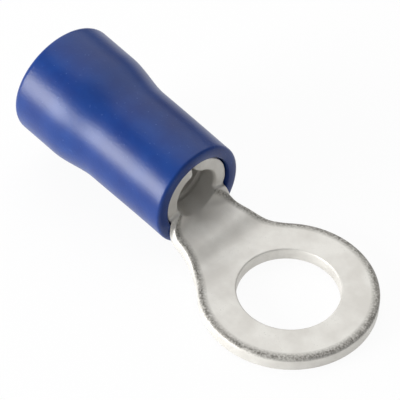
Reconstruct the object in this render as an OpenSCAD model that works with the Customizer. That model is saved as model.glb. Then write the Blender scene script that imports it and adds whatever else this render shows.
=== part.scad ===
// Insulated ring terminal for a crimped wire.
// Origin: centre of the stud hole, on the underside of the ring.
// +Z runs along the stud, +X points from the stud to the wire. Millimetres.

/* [Ring tongue] */
// Diameter of the hole for the stud
stud_hole_d = 5.3; // [4.3:0.1:6.4]
// Outside diameter of the ring
ring_d = 9.2; // [8.6:0.1:12]
// Thickness of the strip that the terminal is stamped from
stock = 0.75; // [0.5:0.05:0.9]
// Width of the neck, measured along the sheet
neck_w = 4.2; // [3.2:0.1:4.8]
// Radius of the fillets between the ring and the neck
neck_fillet_r = 5.5; // [4:0.5:8]
// Radius that the die rolls on the upper edge of the blank
die_roll_r = 0.16; // [0.05:0.01:0.3]

/* [Neck] */
// Distance from the stud to where the tongue starts to rise
bend_start = 3.8; // [3.6:0.1:4.4]
// Distance from the stud to where it has risen, and runs on in line with the barrel
bend_end = 5.3; // [4.8:0.1:6]
// Height of the barrel's floor above the underside of the ring, at the mouth
step_up = 0.65; // [0.4:0.05:1.2]
// Distance from the stud to where the sheet starts to roll up into the barrel
roll_start = 5.8; // [5:0.1:6]
// How late the sheet rolls up: 1 is evenly, more is close to the mouth
roll_power = 2.4; // [1:0.1:4]

/* [Barrel] */
// Distance from the stud to the mouth of the barrel
mouth_x = 6.65; // [6.4:0.05:9]
// Length of the barrel
barrel_len = 5; // [4:0.1:6.5]
// Diameter of the bore that takes the stripped wire
wire_bore_d = 2.6; // [2:0.1:3.2]
// Rise of the barrel towards the wire, in degrees
barrel_pitch = 7; // [0:0.5:12]
// Gap of the butted seam
seam_gap = 0.12; // [0.06:0.01:0.3]
// Width of the notch where the seam opens at the mouth
notch_w = 1.5; // [0.6:0.1:2]
// Depth of that notch
notch_depth = 0.35; // [0.1:0.05:0.8]
// Chamfer round the wire end of the bore
bore_chamfer = 0.2; // [0.1:0.05:0.3]

/* [Serrations] */
// Number of grooves that grip the wire
groove_count = 3; // [1:1:4]
// Distance from the mouth to the middle of the first groove
first_groove = 1.1; // [0.8:0.1:1.5]
// Distance from one groove to the next
groove_pitch = 1.2; // [0.6:0.1:1.2]
// Width of a groove
groove_w = 0.25; // [0.15:0.05:0.4]
// Depth of a groove
groove_depth = 0.12; // [0.05:0.01:0.2]

/* [Sleeve] */
// Length of the sleeve
sleeve_len = 11; // [9.5:0.1:14]
// How far the sleeve's front end stands out past the mouth of the barrel
sleeve_lead = 0.15; // [0.05:0.05:0.3]
// Radial gap round the barrel at the sleeve's front end
mouth_relief = 0.1; // [0.02:0.01:0.15]
// How far back that gap runs, before the sleeve grips the barrel
relief_len = 0.8; // [0.3:0.1:1.5]
// Wall of the sleeve at its front end
front_wall = 0.7; // [0.5:0.01:1.2]
// Wall of the sleeve at the wire end of the barrel
grip_wall = 0.88; // [0.6:0.01:1.3]
// How far the grip runs on past the barrel, before the sleeve widens
grip_margin = 0.2; // [0.1:0.1:0.6]
// Length over which the sleeve widens
flare_len = 3; // [2:0.1:3.5]
// Diameter of the entry for the insulated wire
entry_d = 5.1; // [4.5:0.1:6]
// Wall of the sleeve where the entry begins
entry_wall = 0.79; // [0.7:0.01:1.2]
// How much that wall thickens towards the open end
lip_swell = 0.05; // [0:0.01:0.2]
// Rounding of the sleeve's front edge
front_edge_r = 0.18; // [0.05:0.01:0.3]
// Rounding of the sleeve's open end, outside and inside
lip_r = 0.34; // [0.1:0.01:0.35]

/* [Hidden] */
$fn = 96;
tin = [0.84, 0.83, 0.81];
blue_vinyl = [0.16, 0.29, 0.6];
cut = 0.5; // how far cutting tools run past a face
ring_r = ring_d / 2;
bore_r = wire_bore_d / 2;
barrel_r = bore_r + stock;
axis_z = step_up + barrel_r * cos(barrel_pitch);
barrel_foot = mouth_x + barrel_r * sin(barrel_pitch); // where the barrel's floor meets its mouth
roll_end = barrel_foot - sleeve_lead - 0.05; // the sheet is fully rolled by here, just in front of the sleeve
lap = 0.2; // how far the neck runs into the ring and the barrel
seat = 0.01; // how far it lies inside their skin there

// Fillet circles: they touch the ring and become tangent to the sides of the neck
fillet_y = neck_w / 2 + neck_fillet_r;
fillet_x = sqrt(pow(ring_r + neck_fillet_r, 2) - pow(fillet_y, 2));
neck_start = fillet_x * ring_r / (ring_r + neck_fillet_r) - lap; // where the neck leaves the ring
// Half the width of the neck at a distance x from the stud
function neck_half(x) =
    x >= fillet_x ? neck_w / 2 : fillet_y - sqrt(pow(neck_fillet_r, 2) - pow(fillet_x - x, 2));

// Eases from 0 to 1 with no slope at either end
function ease(t) = t * t * (3 - 2 * t);
// Arc of points, from one angle to another
function arc(centre, r, from, to, steps = 6) =
    [for (k = [0:steps]) let (a = from + (to - from) * k / steps) centre + r * [cos(a), sin(a)]];

// ---- terminal: one stamping, tongue and barrel ----

// Puts its children in the barrel's frame: +Z along the barrel from its mouth, +X downwards
module in_barrel() {
    translate([mouth_x, 0, axis_z])
        rotate([0, 90 - barrel_pitch, 0])
            children();
}

// Disc of the ring, with a rolled upper edge, up to where the tongue starts to rise
module ring() {
    difference() {
        rotate_extrude()
            polygon(concat([[0, 0], [ring_r, 0]],
                           arc([ring_r - die_roll_r, stock - die_roll_r], die_roll_r, 0, 90),
                           [[0, stock]]));
        translate([bend_start, -ring_r, -cut])
            cube([ring_r, ring_d, stock + 2 * cut]);
    }
}

// Thickness of the sheet at a distance d in from its rolled edge
function edge_height(d) =
    d >= die_roll_r ? stock : stock - die_roll_r + sqrt(pow(die_roll_r, 2) - pow(die_roll_r - d, 2));

// Section of the sheet laid flat, as a lower and an upper row of points that pair off
function sheet_section(half) =
    let (edge = [for (k = [0:3]) die_roll_r * (1 - cos(k * 30))],
         flat = half - die_roll_r,
         across = concat([for (d = edge) d - half],
                         [for (k = [1:15]) flat * (k / 8 - 1)],
                         [for (k = [3:-1:0]) half - edge[k]]))
    [for (a = across) [a, 0], for (a = across) [a, edge_height(half - abs(a))]];

// A point of that section when the sheet is rolled to a share of the barrel's curve
function rolled(p, share) =
    let (r = barrel_r / max(share, 0.0001), a = p.x / (r - stock / 2) * 180 / PI)
    [(r - p.y) * sin(a), r - (r - p.y) * cos(a)];

// Height of the sheet's underside at a distance x from the stud, along the middle of the neck
function neck_height(x) =
    let (slope = tan(barrel_pitch),
         run = bend_end - bend_start,
         t = (x - bend_start) / run,
         rise = step_up - (barrel_foot - bend_end) * slope)
    x <= bend_start ? 0
    : x >= bend_end ? rise + (x - bend_end) * slope
    : rise * ease(t) + run * slope * (t * t * t - t * t);

// The sheet's section at a distance x from the stud, seated just inside its neighbours' skin
function neck_section(x) =
    let (lean = barrel_pitch * ease(min(1, max(0, (x - bend_start) / (bend_end - bend_start)))),
         share = pow(min(1, max(0, (x - roll_start) / (roll_end - roll_start))), roll_power))
    [for (p = sheet_section(neck_half(x) - seat))
        let (q = rolled([p.x, seat + p.y * (1 - 2 * seat / stock)], share))
            [x - q.y * sin(lean), q.x, neck_height(x) + q.y * cos(lean)]];

// Formed neck: the sheet rises from the ring to the floor of the barrel, then rolls up into it
module formed_neck() {
    stations = concat([for (k = [0:5]) neck_start + (bend_start - neck_start) * k / 5],
                      [for (k = [1:8]) bend_start + (bend_end - bend_start) * k / 8],
                      [for (k = [1:10]) bend_end + (roll_end - bend_end) * k / 10]);
    sections = concat([for (x = stations) neck_section(x)],
                   [[for (p = neck_section(barrel_foot))
                       p + lap * [cos(barrel_pitch), 0, sin(barrel_pitch)]]]);
    row = len(sections[0]) / 2;
    loop = 2 * row;
    last = loop * (len(sections) - 1);
    low = [for (i = [0:len(sections) - 2], k = [0:row - 2]) i * loop + k];
    edges = [for (i = [0:len(sections) - 2]) i * loop];
    polyhedron([for (s = sections) each s], convexity = 4, faces = concat(
        [for (a = low) [a, a + loop, a + loop + 1, a + 1]],
        [for (a = low) [a + row, a + row + 1, a + row + loop + 1, a + row + loop]],
        [for (a = edges) [a, a + row, a + row + loop, a + loop]],
        [for (a = edges) let (b = a + row - 1) [b, b + loop, b + loop + row, b + row]],
        [for (k = [0:row - 2]) [k, k + 1, k + 1 + row, k + row]],
        [for (k = [0:row - 2]) let (a = last + k) [a, a + row, a + row + 1, a + 1]]));
}

// Rolled barrel with its seam on top
module barrel() {
    in_barrel()
        difference() {
            cylinder(r = barrel_r, h = barrel_len);
            translate([0, 0, -cut])
                cylinder(r = bore_r, h = barrel_len + 2 * cut);
            translate([0, 0, barrel_len - bore_chamfer])
                cylinder(r1 = bore_r, r2 = bore_r + bore_chamfer + cut, h = bore_chamfer + cut);
            for (k = [0:groove_count - 1])
                translate([0, 0, first_groove + k * groove_pitch - groove_w / 2])
                    cylinder(r = bore_r + groove_depth, h = groove_w);
            seam();
        }
}

// Butted seam, which opens into a notch at the mouth
module seam() {
    translate([-barrel_r - cut, 0, 0])
        rotate([90, 0, 90])
            linear_extrude(barrel_r + cut)
                polygon([[-notch_w / 2, -cut], [notch_w / 2, -cut], [notch_w / 2, 0],
                         [seam_gap / 2, notch_depth], [seam_gap / 2, barrel_len + cut],
                         [-seam_gap / 2, barrel_len + cut], [-seam_gap / 2, notch_depth],
                         [-notch_w / 2, 0]]);
}

module terminal_body() {
    color(tin)
        difference() {
            union() {
                ring();
                formed_neck();
                barrel();
            }
            translate([0, 0, -cut])
                cylinder(d = stud_hole_d, h = stock + 2 * cut);
        }
}

// ---- sleeve: one moulding, round throughout ----

// Distances behind the sleeve's front face
grip_end = sleeve_lead + barrel_len + grip_margin;
entry_start = grip_end + flare_len;
// Radii of its bore and of its outside at the named places
entry_r = entry_d / 2;
front_bore_r = barrel_r + mouth_relief;
front_r = front_bore_r + front_wall;
grip_end_r = barrel_r + grip_wall;
entry_outer_r = entry_r + entry_wall;
lip_outer_r = entry_outer_r + lip_swell;

// Points that widen smoothly from one radius to another over the flare
function flare(from, to, steps = 12) =
    [for (k = [0:steps]) [from + (to - from) * ease(k / steps), grip_end + flare_len * k / steps]];
function reversed(list) = [for (k = [len(list) - 1:-1:0]) list[k]];

module insulating_sleeve() {
    color(blue_vinyl)
        in_barrel()
            translate([0, 0, -sleeve_lead])
            rotate_extrude()
                polygon(concat(
                    arc([front_r - front_edge_r, front_edge_r], front_edge_r, -90, 0, 4),
                    flare(grip_end_r, entry_outer_r),
                    arc([lip_outer_r - lip_r, sleeve_len - lip_r], lip_r, 0, 90, 5),
                    arc([entry_r + lip_r, sleeve_len - lip_r], lip_r, 90, 180, 5),
                    reversed(flare(barrel_r, entry_r)),
                    [[barrel_r, relief_len + mouth_relief], [front_bore_r, relief_len],
                     [front_bore_r, 0]]));
}

terminal_body();
insulating_sleeve();
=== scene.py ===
"""An insulated ring terminal for a crimped wire, on a pale studio floor."""

import bmesh
import bpy
import numpy as np
from mathutils import Matrix, Vector


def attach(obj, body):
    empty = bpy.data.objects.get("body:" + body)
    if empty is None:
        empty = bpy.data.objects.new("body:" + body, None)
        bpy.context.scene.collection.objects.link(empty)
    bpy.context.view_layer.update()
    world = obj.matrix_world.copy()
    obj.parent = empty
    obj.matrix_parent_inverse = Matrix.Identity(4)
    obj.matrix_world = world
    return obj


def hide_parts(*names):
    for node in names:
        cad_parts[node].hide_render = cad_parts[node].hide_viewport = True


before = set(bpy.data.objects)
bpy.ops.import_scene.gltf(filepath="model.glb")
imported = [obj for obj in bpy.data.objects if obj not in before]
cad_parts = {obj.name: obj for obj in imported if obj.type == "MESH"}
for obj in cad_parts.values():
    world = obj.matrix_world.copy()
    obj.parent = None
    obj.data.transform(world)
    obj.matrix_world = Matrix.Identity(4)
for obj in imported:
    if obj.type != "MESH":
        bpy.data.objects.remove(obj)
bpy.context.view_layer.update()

# ---- Terminal ----
# The metal part is one stamping from 0.75 mm copper strip, tinned all over: a ring for the stud,
# a neck that steps up from it, and a barrel rolled from the wide end of the same blank until its
# two edges butt on top. The punch rounds the upper edges. A dark band painted along the rounded
# top edges is a painted reflection of the dark room in them; the cut walls below are left without it.

# Sizes in millimetres. On the flat blank, x runs from the stud to the wire and y to either side.
stock = 0.75
hole_r = 2.65
ring_r = 4.6
neck_half = 2.1
fillet_r = 5.5
bend_start, bend_end = 3.8, 5.3
barrel_r, barrel_len = 2.05, 5.0
pitch = np.radians(7)
along = np.array([np.cos(pitch), 0, np.sin(pitch)])
upright = np.array([-np.sin(pitch), 0, np.cos(pitch)])
mouth = np.array([6.65, 0, 2.6847])
foot = mouth[0] + barrel_r * np.sin(pitch)
foot_height = 0.65
roll_start, roll_end = 5.8, foot - 0.2
roll_power = 2.4
wire_end = foot + barrel_len
corner_in, corner_out = 0.16, 0.5
grooves = (1.1, 2.3, 3.5)
groove_w, groove_depth = 0.25, 0.12
seam_gap = 0.12
seam_y = np.pi * (barrel_r - stock / 2) - seam_gap / 2
crown_rise, mouth_lean = 0.06, 0.12

# Profile of a cut edge: how far in from the outline, and how high above the underside
turn = np.radians(np.linspace(0, 90, 7))
lower_r = 0.04
edge_roll, edge_drop = 0.2, 0.15
hole_roll, hole_drop = 0.1, 0.08
lower_corner = [(lower_r * (1 - np.sin(a)), lower_r * (1 - np.cos(a))) for a in turn[::2]]
cut_edge = np.array(
    lower_corner
    + [(0.0, 0.22), (0.0, 0.4)]
    + [(edge_roll * (1 - np.cos(a)), stock - edge_drop * (1 - np.sin(a))) for a in turn]
)
hole_edge = np.array(
    lower_corner
    + [(0.0, 0.3), (0.0, 0.55)]
    + [(hole_roll * (1 - np.cos(a)), stock - hole_drop * (1 - np.sin(a))) for a in turn]
)
low_in, top_in = cut_edge[0, 0], cut_edge[-1, 0]

fillet_y = neck_half + fillet_r
fillet_x = np.sqrt((ring_r + fillet_r) ** 2 - fillet_y**2)


def ring_side():
    """One side of the ring from its far point to where the neck starts to rise: the arc of the
    ring, then the start of the fillet's arc. Gives points and outward directions."""
    tangent = np.arctan2(fillet_y, fillet_x)
    a = np.linspace(np.pi, tangent, 96)
    start, stop = tangent + np.pi, 2 * np.pi - np.arccos((bend_start - fillet_x) / fillet_r)
    b = np.linspace(start, stop, 14)[1:]
    ring = np.stack([np.cos(a), np.sin(a)], 1)
    fillet = np.stack([np.cos(b), np.sin(b)], 1)
    points = np.vstack([ring * ring_r, [fillet_x, fillet_y] + fillet * fillet_r])
    return points, np.vstack([ring, -fillet])


def neck_side():
    """One side of the neck, row by row: the fillet's arc, then a straight line up to the rounded
    corner in front of the barrel. Gives points and outward directions."""
    x = np.concatenate([np.linspace(bend_start, fillet_x, 64), [fillet_x + 0.04]])
    x = np.append(x, foot - corner_in)
    past = np.maximum(fillet_x - x, 0)
    y = fillet_y - np.sqrt(fillet_r**2 - past**2)
    return np.stack([x, y], 1), np.stack([past, fillet_y - y], 1) / fillet_r


def rim_side(inset):
    """One side of the barrel's mouth on the flat blank, a given distance in from the outline: a
    concave quarter circle, the straight rim, then a convex quarter circle at the seam."""
    a = np.radians(np.linspace(90, 180, 9))
    b = np.radians(np.linspace(180, 90, 13))
    x = foot - corner_in - (corner_in + inset) * np.cos(a)
    y = neck_half + corner_in - (corner_in + inset) * np.sin(a)
    straight = np.linspace(neck_half + corner_in, seam_y - corner_out, 34)[1:-1]
    x = np.concatenate([x, np.full(len(straight), foot + inset)])
    y = np.concatenate([y, straight])
    x = np.concatenate([x, foot + corner_out + (corner_out - inset) * np.cos(b)])
    return x, np.concatenate([y, seam_y - corner_out + (corner_out - inset) * np.sin(b)])


across = np.concatenate([[-1, -0.985, -0.96], np.linspace(-0.92, 0.92, 29), [0.96, 0.985, 1]])


def ring_outline(inset):
    """The ring's outer loop a given distance in from the outline: the line across the root of the
    neck, then one side back to the far point, then the other side mirrored."""
    points, out = ring_side()
    side = (points - inset * out)[::-1]
    root = np.stack([np.full(len(across), side[0, 0]), across * side[0, 1]], 1)
    mirrored = side[-2:0:-1] * [1, -1]
    return np.vstack([root, side[1:], mirrored, root[:1]])


def ring_face(inset, hole_inset, height):
    """A flat face of the ring: straight lines from each point of the outer loop to the hole."""
    outer = ring_outline(inset)
    inner = outer / np.linalg.norm(outer, axis=1, keepdims=True) * (hole_r + hole_inset)
    share = np.array([0, 0.015, 0.04, 0.08, 0.14, 0.22, 0.32, 0.44, 0.56, 0.68, 0.78, 0.86, 0.92])
    share = np.append(share, [0.96, 0.985, 1])[:, None, None]
    grid = outer + share * (inner - outer)
    return np.dstack([grid, np.full(grid.shape[:2], height)])


def neck_face(inset, height):
    """A face of the neck: rows across it, each a share of the half width at that distance."""
    points, out = neck_side()
    row = points - inset * out
    x = np.repeat(row[:, :1], len(across), 1)
    return np.dstack([x, row[:, 1:] * across, np.full(x.shape, height)])


def barrel_columns(inset):
    """The blank's edge in front of the barrel, from one seam edge to the other."""
    x, y = rim_side(inset)
    neck = np.full(len(across), foot - corner_in), across * (neck_half - inset)
    return (
        np.concatenate([x[:0:-1], neck[0], x[1:]]),
        np.concatenate([-y[:0:-1], neck[1], y[1:]]),
    )


def barrel_rows(inset):
    """Lines along the barrel: the first few move evenly from the mouth's outline to a straight
    line across the blank, the others stay at fixed distances, closer beside each groove."""
    x, y = barrel_columns(inset)
    steps = np.array([-0.2, -0.125, -0.12, -0.1, 0, 0.1, 0.12, 0.125, 0.2])
    fixed = np.concatenate([foot + g + steps for g in grooves] + [foot + np.array([0.75, 1.7, 2.9])])
    fixed = np.sort(np.concatenate([fixed, [foot + 4.1, foot + 4.6, wire_end - inset - 0.02]]))
    share = np.array([0, 0.03, 0.08, 0.16, 0.28, 0.42, 0.56, 0.7, 0.85])[:, None]
    start = x + share * (foot + 0.75 - x)
    rows = np.vstack([start, np.repeat(fixed[:, None], len(x), 1)])
    rows = np.vstack([rows, np.full(len(x), wire_end - inset)])
    return rows, np.repeat(y[None], len(rows), 0)


def crown_at(angle, run):
    """How high the barrel's crown stands at an angle from its floor and a distance from its foot:
    nothing on the lower half, full round the seam, and gone four millimetres in."""
    return crown_rise * smooth(angle, 1.35, 2.3) * (1 - smooth(run, 1.5, 4.0))


def rolled_out(x, y, height):
    """Forms the blank. The sheet's underside rises over the bend on a smooth cubic and runs on in
    line with the barrel; across it, the sheet is rolled to a circle whose radius shrinks to the
    barrel's. Past the foot of the barrel a distance along the blank is one along its axis. The
    barrel's crown stands a little high, and its mouth leans back a few degrees."""
    run, slope = bend_end - bend_start, np.tan(pitch)
    station, beyond = np.minimum(x, foot), np.maximum(x - foot, 0)
    t = np.clip((station - bend_start) / run, 0, 1)
    eased = t * t * (3 - 2 * t)
    rise = foot_height - (foot - bend_end) * slope
    under = rise * eased + run * slope * (t**3 - t**2) + np.maximum(station - bend_end, 0) * slope
    lean = pitch * eased
    share = np.clip((station - roll_start) / (roll_end - roll_start), 1e-3, 1) ** roll_power
    radius = barrel_r / share
    angle = y / (radius - stock / 2)
    crown = np.where(share > 0.999, crown_at(np.abs(angle), beyond), 0)
    back = -mouth_lean * (radius + crown - height) * np.cos(angle) * (1 - smooth(beyond, 0.3, 2.0))
    back = back * np.where(share > 0.999, smooth(np.abs(angle), 1.2, 1.6), 0)
    beyond = beyond + back
    u = (radius + crown - height) * np.sin(angle)
    up = radius - (radius + crown - height) * np.cos(angle)
    return np.stack(
        [
            station - up * np.sin(lean) + beyond * np.cos(pitch),
            u,
            under + up * np.cos(lean) + beyond * np.sin(pitch),
        ],
        -1,
    )


def smooth(value, low, high):
    """0 below low, 1 above high, and a smooth cubic step between them."""
    t = np.clip((value - low) / (high - low), 0, 1)
    return t * t * (3 - 2 * t)


def edge_distance(x, y):
    """How far a point of the blank lies inside the outline of the ring and the neck: from the
    ring's circle on its own side of the line to the fillet's centre, from the fillet past it."""
    beside = np.abs(y)
    ring = ring_r - np.hypot(x, y)
    fillet = np.hypot(x - fillet_x, beside - fillet_y) - fillet_r
    neck = np.where(x < fillet_x, fillet, neck_half - beside)
    inside = np.where(x * fillet_y > beside * fillet_x, neck, ring)
    return np.where(x > foot - corner_in, 1.0, inside)


def groove_cut(x):
    """Depth of the serrations at a distance along the blank: full over a groove's width, with a
    short smooth step at either side."""
    inside = sum(smooth(groove_w / 2 - np.abs(x - foot - g), 0, 0.02) for g in grooves)
    return groove_depth * inside


def terminal_patches():
    """Every patch of the blank's surface, each a grid of (x, y, height)."""
    patches = [ring_face(top_in, hole_edge[-1, 0], stock), ring_face(low_in, hole_edge[0, 0], 0)]
    patches += [neck_face(top_in, stock), neck_face(low_in, 0)]
    x, y = barrel_rows(top_in)
    patches.append(np.dstack([x, y, stock - groove_cut(x)]))
    x, y = barrel_rows(low_in)
    patches.append(np.dstack([x, y, np.zeros(x.shape)]))
    # Walls: the hole, the ring's rim, the neck's sides, the mouth, the seam and the wire end
    low, top = ring_outline(low_in), ring_outline(top_in)
    rows = []
    for inset, height in hole_edge:
        loop = low + (top - low) * (height / stock)
        loop = loop / np.linalg.norm(loop, axis=1, keepdims=True) * (hole_r + inset)
        rows.append(np.column_stack([loop, np.full(len(loop), height)]))
    patches.append(np.array(rows))
    rows = []
    for inset, height in cut_edge:
        loop = ring_outline(inset)[len(across) - 1 :]
        rows.append(np.column_stack([loop, np.full(len(loop), height)]))
    patches.append(np.array(rows))
    mirror = np.array([1, -1, 1])
    side, rim = [], []
    for inset, height in cut_edge:
        side.append(neck_face(inset, height)[:, -1])
        x, y = rim_side(inset)
        rim.append(np.column_stack([x, y, np.full(len(x), height)]))
    for wall in (side, rim):
        patches += [np.array(wall), np.array(wall) * mirror]
    seam, end = [], []
    for inset, height in cut_edge:
        x, y = barrel_rows(inset)
        level = height - groove_cut(x) * (height == stock)
        seam.append(np.dstack([x, y, level])[:, -1])
        end.append(np.dstack([x, y, np.full(x.shape, height)])[-1])
    patches += [np.array(seam), np.array(seam) * mirror, np.array(end)]
    return patches


def grid_mesh(name, patches, attributes):
    """One closed mesh from grids of points in millimetres: each grid gives quads between its
    neighbours, points that meet are merged, and all faces are turned outwards."""
    faces, start = [], 0
    for patch in patches:
        count = patch.shape[0] * patch.shape[1]
        index = start + np.arange(count).reshape(patch.shape[:2])
        quads = [index[:-1, :-1], index[:-1, 1:], index[1:, 1:], index[1:, :-1]]
        faces.append(np.stack(quads, -1).reshape(-1, 4))
        start += count
    points = np.concatenate([patch.reshape(-1, 3) for patch in patches]) * 0.001
    mesh = bpy.data.meshes.new(name)
    mesh.from_pydata(points.tolist(), [], np.concatenate(faces).tolist())
    for key, values in attributes.items():
        layer = mesh.attributes.new(key, "FLOAT", "POINT")
        layer.data.foreach_set("value", values.astype(np.float32))
    shell = bmesh.new()
    shell.from_mesh(mesh)
    bmesh.ops.remove_doubles(shell, verts=shell.verts, dist=1e-7)
    bmesh.ops.recalc_face_normals(shell, faces=shell.faces)
    for face in shell.faces:
        face.smooth = True
    shell.to_mesh(mesh)
    shell.free()
    piece = bpy.data.objects.new(name, mesh)
    bpy.context.scene.collection.objects.link(piece)
    return piece


class Wire:
    """A value that runs through a material's nodes. Sums on it add the Math node for that sum,
    and node() adds a node of any other kind."""

    def __init__(self, tree, socket=None):
        self.tree = tree
        self.socket = socket

    def node(self, kind, settings, values, out=0):
        """Adds a node: its settings first, then each socket's value or link. Gives its output."""
        made = self.tree.nodes.new("ShaderNode" + kind)
        for name, setting in settings.items():
            if name == "stops":
                ramp = made.color_ramp.elements
                for _ in setting[2:]:
                    ramp.new(0.5)
                for stop, (place, level) in zip(ramp, setting):
                    stop.position = place
                    stop.color = (level, level, level, 1)
            else:
                setattr(made, name, setting)
        for key, value in values.items():
            if isinstance(value, Wire):
                self.tree.links.new(value.socket, made.inputs[key])
            else:
                made.inputs[key].default_value = value
        return Wire(self.tree, made.outputs[out])

    def math(self, operation, first, second=0.0):
        return self.node("Math", {"operation": operation}, {0: first, 1: second})

    def __add__(self, other):
        return self.math("ADD", self, other)

    def __radd__(self, other):
        return self.math("ADD", other, self)

    def __sub__(self, other):
        return self.math("SUBTRACT", self, other)

    def __mul__(self, other):
        return self.math("MULTIPLY", self, other)

    def __rmul__(self, other):
        return self.math("MULTIPLY", other, self)

    def ramp(self, *stops):
        """This value read off a line through the stops, each a place and a level."""
        return self.node("ValToRGB", {"stops": stops}, {"Fac": self})

    def noise(self, scale, detail=2.0, stretch=(1, 1, 1), shift=(0, 0, 0)):
        """Cloudy variation of about 1 / scale millimetres, on the piece's own coordinates."""
        place = self.node("TexCoord", {}, {}, "Object")
        size = tuple(1000 * s for s in stretch)
        mapped = self.node("Mapping", {}, {"Vector": place, "Scale": size, "Location": shift})
        values = {"Vector": mapped, "Scale": scale, "Detail": detail}
        return self.node("TexNoise", {}, values)

    def blend(self, first, second):
        """One colour mixed into another by this value."""
        return self.node("Mix", {"data_type": "RGBA"}, {0: self, 6: first, 7: second}, 2)


def new_finish(name):
    """An empty material: a Wire on its tree, and its shader."""
    finish = bpy.data.materials.new(name)
    finish.use_nodes = True
    return finish, Wire(finish.node_tree), finish.node_tree.nodes["Principled BSDF"]


def feed(shader, wire, socket):
    """Links a value to one of the shader's sockets."""
    wire.tree.links.new(wire.socket, shader.inputs[socket])


blank = terminal_patches()
formed = [rolled_out(p[..., 0], p[..., 1], p[..., 2]) for p in blank]
flat = np.concatenate([p.reshape(-1, 3) for p in blank])
terminal = grid_mesh(
    "tinned_terminal",
    formed,
    {
        "from_edge": edge_distance(flat[:, 0], flat[:, 1]),
        "height": flat[:, 2],
    },
)

tin, draw, shader = new_finish("satin tin plating")
shader.inputs["Metallic"].default_value = 0.7
from_edge = draw.node("Attribute", {"attribute_name": "from_edge"}, {}, "Fac")
height = draw.node("Attribute", {"attribute_name": "height"}, {}, "Fac")
clouds = draw.noise(0.9, 3)
grain = draw.noise(9, 3)
specks = draw.noise(14, 2, shift=(3, 1, 2))
upper = height.ramp((0.6, 0), (0.72, 1))
rolled = from_edge.ramp((0.0, 0.8), (0.2, 1), (0.5, 0)) * upper
# Painted reflection: a dark band along the rounded top edges, broken up by grain, stands for the dark
# room mirrored in them.
painted_edge_reflection = (rolled * (0.7 + 1.3 * clouds)) * grain.ramp((0.4, 1), (0.68, 0.3))
flecks = specks.ramp((0.66, 0), (0.74, 1)) * clouds.ramp((0.5, 0), (0.62, 1))
plate = clouds.ramp((0.35, 0), (0.65, 1)).blend((0.68, 0.66, 0.62, 1), (0.77, 0.755, 0.715, 1))
# The dark colour carries both the painted edge reflection and real dark flecks scattered over the
# plate.
plate = (0.68 * painted_edge_reflection + 0.3 * flecks).blend(plate, (0.2, 0.19, 0.17, 1))
feed(shader, plate, "Base Color")
feed(shader, 0.54 + 0.1 * grain + 0.1 * rolled, "Roughness")
relief = 0.6 * grain + 0.4 * specks
bump = draw.node("Bump", {}, {"Strength": 0.25, "Distance": 0.00002, "Height": relief}, "Normal")
feed(shader, bump, "Normal")
terminal.data.materials.append(tin)
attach(terminal, "root")
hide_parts("terminal_body")

# ---- Sleeve ----
# The insulation is one tube of soft blue vinyl, moulded round and pushed over the barrel. It grips
# the barrel, widens behind it for the wire's own insulation, and has a rounded open end.

sleeve_lead = 0.15
sleeve_front = mouth - sleeve_lead * along
sleeve_len = 11.0
grip_end, flare_end = 5.35, 8.35
bore_front, bore_grip, bore_entry = 2.15, 2.05, 2.55
front_r, grip_r, entry_r, lip_r = 2.85, 2.93, 3.34, 3.385
front_round, front_drop, lip_round = 0.24, 0.17, 0.34
flare_len, entry_run = 3.0, 2.3


def sleeve_profile():
    """The tube's wall as a closed loop of radius, distance along and a share that says how much
    the bore follows the barrel's crown: front edge, outside, rounded lip, entry, funnel, bore."""
    q = np.radians(np.linspace(0, 90, 9))
    t = np.linspace(0, 1, 25)[1:-1]
    ease = t * t * (3 - 2 * t)
    lip_start = sleeve_len - lip_round
    outside = [
        (front_r - front_round + front_round * np.sin(a), front_drop * (1 - np.cos(a)), 0)
        for a in q
    ]
    outside += [(front_r + (grip_r - front_r) * s / grip_end, s, 0) for s in np.linspace(0.2, 5.3, 30)]
    outside += [(grip_r + (entry_r - grip_r) * e, grip_end + flare_len * v, 0) for e, v in zip(ease, t)]
    outside += [(entry_r + (lip_r - entry_r) * v, flare_end + entry_run * v, 0) for v in t]
    outside += [
        (lip_r - lip_round + lip_round * np.cos(a), lip_start + lip_round * np.sin(a), 0)
        for a in q
    ]
    inside = [
        (bore_entry + lip_round - lip_round * np.sin(a), lip_start + lip_round * np.cos(a), 0)
        for a in q
    ]
    inside += [(bore_entry, s, 0) for s in np.linspace(10.5, 8.5, 9)]
    funnel = bore_entry + (bore_grip - bore_entry) * ease
    inside += [(r, flare_end - flare_len * v, 0) for r, v in zip(funnel, t)]
    inside += [(bore_grip, s, 1) for s in np.linspace(5.3, 1.0, 22)]
    inside += [(bore_front, 0.75, 1), (bore_front, 0.4, 1), (bore_front, 0.08, 1)]
    inside += [(bore_front + 0.03, 0.02, 1), (bore_front + 0.06, 0, 1)]
    return np.array(outside + inside + outside[:1])


def sleeve_grid():
    """The profile turned round the barrel's axis: a point is the front centre plus its distance
    along, plus its radius at its angle from the top. Slow waves of a few hundredths of a
    millimetre make the outside uneven, the bore swells with the barrel's crown, and the front
    end leans back with the mouth."""
    profile = sleeve_profile()
    a = np.linspace(-np.pi, np.pi, 257)
    radius, run, bore = (profile[:, k, None] for k in range(3))
    waves = 0.010 * np.sin(2 * a + 0.5 * run + 1) + 0.006 * np.sin(3 * a - 0.8 * run)
    crown = crown_at(np.pi - np.abs(a), run - sleeve_lead)
    radius = radius + waves * (1 - bore) * smooth(run, 0.2, 1.2) + crown * bore
    side, up = radius * np.sin(a), radius * np.cos(a)
    run = run + mouth_lean * up * (1 - smooth(run, 0.3, 2.3))
    point = sleeve_front + run[..., None] * along + up[..., None] * upright
    return point + side[..., None] * np.array([0, 1, 0])


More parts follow.
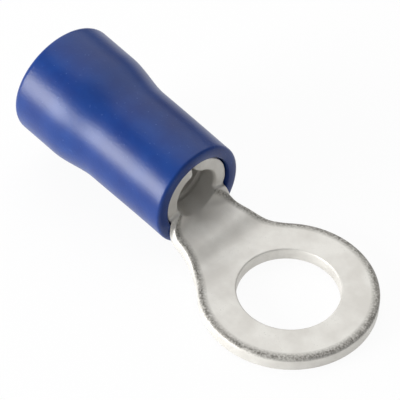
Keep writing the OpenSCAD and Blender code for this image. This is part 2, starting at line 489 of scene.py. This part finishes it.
sleeve = grid_mesh("vinyl_sleeve", [sleeve_grid()], {})
vinyl, draw, shader = new_finish("satin blue vinyl")
clouds = draw.noise(0.5, 3)
haze = draw.noise(1.2, 2, stretch=(0.25, 1, 1))
pits = draw.noise(7, 2, shift=(5, 2, 1))
body = clouds.ramp((0.35, 0), (0.7, 1)).blend((0.002, 0.026, 0.165, 1), (0.004, 0.040, 0.21, 1))
dust = pits.ramp((0.68, 0), (0.76, 1))
body = (0.35 * dust).blend(body, (0.1, 0.17, 0.4, 1))
feed(shader, body, "Base Color")
feed(shader, 0.28 + 0.1 * haze + 0.15 * dust, "Roughness")
relief = pits + 0.5 * draw.noise(20, 2)
bump = draw.node("Bump", {}, {"Strength": 0.2, "Distance": 0.00003, "Height": relief}, "Normal")
feed(shader, bump, "Normal")
shader.inputs["Specular IOR Level"].default_value = 0.36
sleeve.data.materials.append(vinyl)
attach(sleeve, "root")
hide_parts("insulating_sleeve")

# ---- Floor ----
# A plain white sheet that the terminal lies on: it meets the far edge of the ring and the front
# end of the sleeve, and stays clear of the open end.

half_side, clearance = 400.0, 0.005
touch_x, touch_drop = 6.5, 0.185
ends = half_side * np.array([[-1, -1], [1, -1], [1, 1], [-1, 1]])
lean = touch_drop / (touch_x + ring_r)
sheet = np.column_stack([ends, -clearance - lean * (ends[:, 0] + ring_r)]) * 0.001
mesh = bpy.data.meshes.new("floor")
mesh.from_pydata(sheet.tolist(), [], [(0, 1, 2, 3)])
floor = bpy.data.objects.new("floor", mesh)
bpy.context.scene.collection.objects.link(floor)
white, draw, shader = new_finish("white studio sheet")
shader.inputs["Base Color"].default_value = (0.9, 0.9, 0.9, 1)
shader.inputs["Roughness"].default_value = 0.9
camera_ray = draw.node("LightPath", {}, {}, "Is Camera Ray")
glossy_ray = draw.node("LightPath", {}, {}, "Is Glossy Ray")
through_ray = draw.node("LightPath", {}, {}, "Is Transmission Ray")
seen = draw.math("MAXIMUM", draw.math("MAXIMUM", camera_ray, glossy_ray), through_ray)
glow = draw.node("Emission", {}, {"Color": (1, 1, 1, 1), "Strength": 1.0})
mixed = draw.node("MixShader", {}, {0: 0.93 * seen, 1: Wire(draw.tree, shader.outputs[0]), 2: glow})
result = draw.tree.nodes["Material Output"]
draw.tree.links.new(mixed.socket, result.inputs["Surface"])
floor.data.materials.append(white)

# ---- Studio ----
# A dim white room, a broad lamp overhead behind the terminal, and a smaller lamp low down on the
# +Y side, which the camera sees.

world = bpy.data.worlds.new("studio")
bpy.context.scene.world = world
world.use_nodes = True
room = Wire(world.node_tree)
shell = world.node_tree.nodes["Background"]
shell.inputs["Color"].default_value = (1, 1, 1, 1)
camera_ray = room.node("LightPath", {}, {}, "Is Camera Ray")
through_ray = room.node("LightPath", {}, {}, "Is Transmission Ray")
glossy_ray = room.node("LightPath", {}, {}, "Is Glossy Ray")
open_air = room.math("MAXIMUM", camera_ray, through_ray)
feed(shell, 0.38 + 0.62 * open_air - 0.10 * glossy_ray, "Strength")


def lamp(name, place, aim, width, height, power):
    """An area lamp at a place, turned to face a point, both in millimetres."""
    light = bpy.data.lights.new(name, "AREA")
    light.shape = "RECTANGLE"
    light.size, light.size_y = width * 0.001, height * 0.001
    light.energy = power
    stand = bpy.data.objects.new(name, light)
    stand.location = Vector(place) * 0.001
    turned = (Vector(aim) - Vector(place)).to_track_quat("-Z", "Y")
    stand.rotation_euler = turned.to_euler()
    bpy.context.scene.collection.objects.link(stand)


middle = (7, 0, 2)
lamp("overhead_lamp", (66, -62, 126), middle, 190, 190, 0.14)
lamp("side_lamp", (70, 131, 32), middle, 90, 85, 0.33)

# ---- Camera ----
# A long lens from the ring's side and above, level with the horizon to within half a degree.

azimuth, elevation, tilt = np.radians([136.235, 45.362, -0.335])
aim, distance = np.array([6.428, -0.006, 2.381]), 69.329
back = np.array([np.cos(elevation) * np.cos(azimuth), np.cos(elevation) * np.sin(azimuth), 0])
back[2] = np.sin(elevation)
right = np.cross([0, 0, 1], back)
right /= np.linalg.norm(right)
level = np.cross(back, right)
right, level = (
    np.cos(tilt) * right + np.sin(tilt) * level,
    np.cos(tilt) * level - np.sin(tilt) * right,
)
place = (aim + distance * back) * 0.001
view = bpy.data.cameras.new("camera")
view.lens = 120.19
view.sensor_width = 36
view.clip_start = 0.001
camera = bpy.data.objects.new("camera", view)
axes = [[*row] for row in np.column_stack([right, level, back, place])]
camera.matrix_world = Matrix(axes + [[0, 0, 0, 1]])
bpy.context.scene.collection.objects.link(camera)
bpy.context.scene.camera = camera
bpy.context.scene.view_settings.view_transform = "Standard"

bpy.context.view_layer.update()
